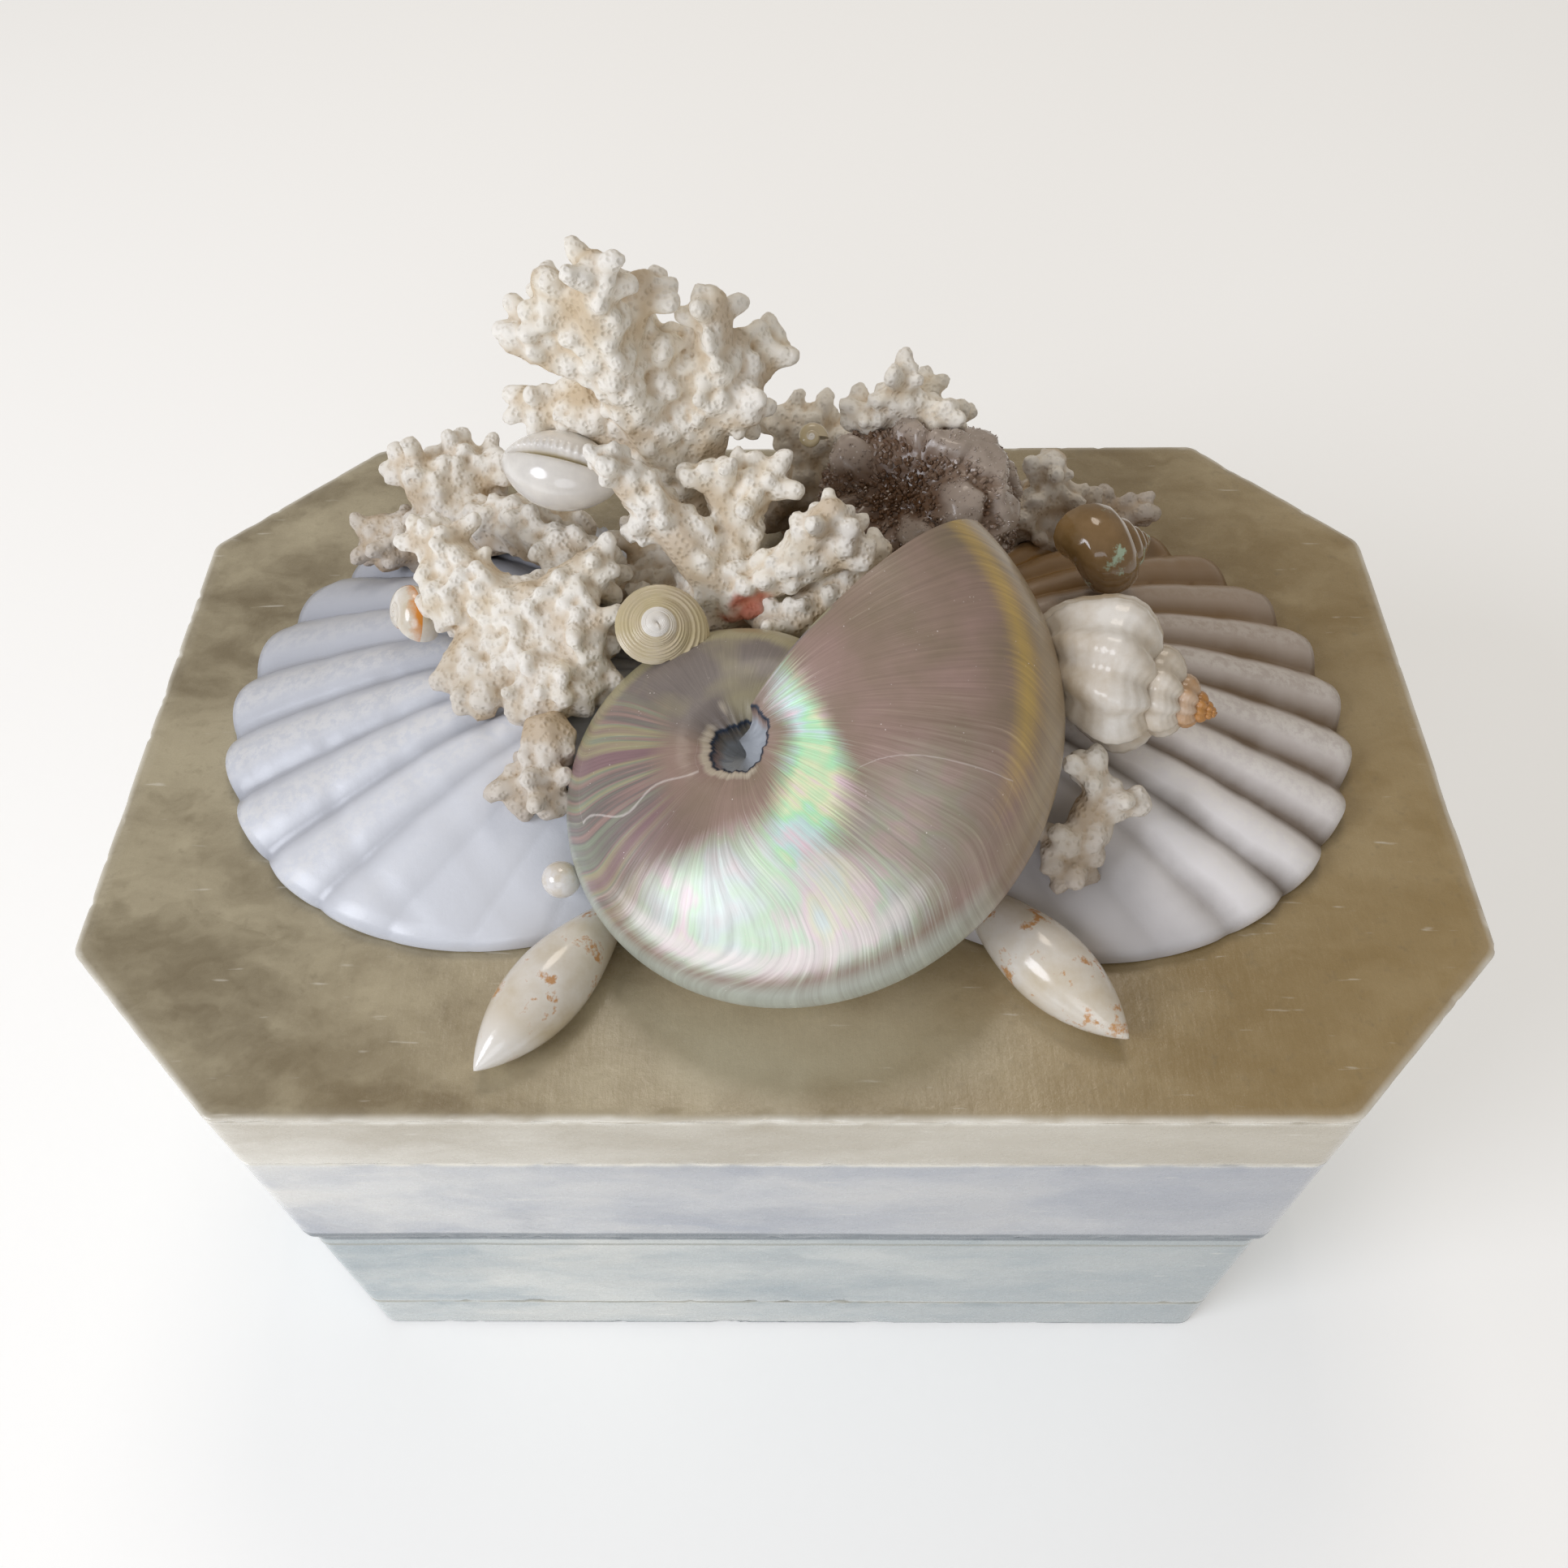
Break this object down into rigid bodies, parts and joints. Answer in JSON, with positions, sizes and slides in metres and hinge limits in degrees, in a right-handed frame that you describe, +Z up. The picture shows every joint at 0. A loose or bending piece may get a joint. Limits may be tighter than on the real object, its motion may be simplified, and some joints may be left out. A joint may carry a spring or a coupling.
{
  "type": "shell box",
  "caption": "Eight-sided keepsake box veneered with shell sheets, with a loose hollow lid carrying a glued group of seashells, branching corals and a druzy geode.",
  "frame": {"origin": "middle of the box's underside", "axes": "+Z up, +X along the box's length to the right as seen from its front, +Y to the back"},
  "size_m": [0.305, 0.2, 0.2569],
  "materials": {
    "core": "plain board, sealed",
    "side_veneer": "pale shell sheets under clear resin",
    "top_veneer": "mottled tan shell sheets under clear resin",
    "nacre": "polished mother-of-pearl",
    "shell": "smooth seashell",
    "pearl": "lustrous white pearl",
    "quartz": "sugary druzy quartz",
    "coral": "matte bleached coral skeleton"
  },
  "bodies": {
    "root": {"base_box": "core", "lid": "core", "base_foot_band": "side_veneer", "base_upper_band": "side_veneer", "lid_lower_band": "side_veneer", "lid_upper_band": "side_veneer", "lid_top_veneer": "top_veneer", "nautilus": "nacre", "whelk": "shell", "cowrie": "shell", "olive_left": "shell", "olive_right": "shell", "pearl": "pearl", "geode": "quartz", "coral_back_peak": "coral", "scallop_left": "shell", "scallop_right": "shell", "top_shell": "shell", "turban_shell": "nacre", "moon_shell": "shell", "small_snail": "shell", "coral_tall": "coral", "coral_front": "coral", "coral_left_back": "coral", "coral_left_front": "coral", "coral_left_low": "coral", "coral_notch": "coral", "coral_back_ridge": "coral", "coral_back_right": "coral", "coral_right_small": "coral"}
  },
  "joints": []
}
